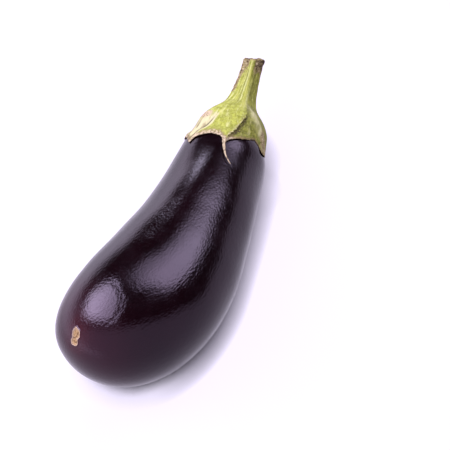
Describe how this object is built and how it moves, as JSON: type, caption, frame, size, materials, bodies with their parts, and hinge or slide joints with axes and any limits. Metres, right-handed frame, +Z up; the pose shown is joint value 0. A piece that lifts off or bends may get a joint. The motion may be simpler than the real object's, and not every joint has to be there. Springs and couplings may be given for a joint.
{
  "type": "eggplant",
  "caption": "Whole dark purple eggplant with a curved glossy fruit, green calyx and ribbed stem, lying on its side; a fresh vegetable prop.",
  "frame": {"origin": "on the small flat spot under the belly that the fruit rests on, under the middle of the bulb", "axes": "+X along the length, from the blossom end towards the stem; +Z up; +Y to the side that the blossom end curves towards"},
  "size_m": [0.2264, 0.0843, 0.0776],
  "materials": {
    "skin": "very dark purple waxy skin with a high natural gloss; small dull corky blossom scar",
    "calyx_green": "matte fleshy sepals, yellow-green to olive, with a dry cream and brown rim",
    "stem_green": "matte ribbed stalk, yellow-green with brown corky ridges and a dry cut end"
  },
  "bodies": {
    "root": {"fruit": "skin", "calyx": "calyx_green", "stem": "stem_green"}
  },
  "joints": []
}
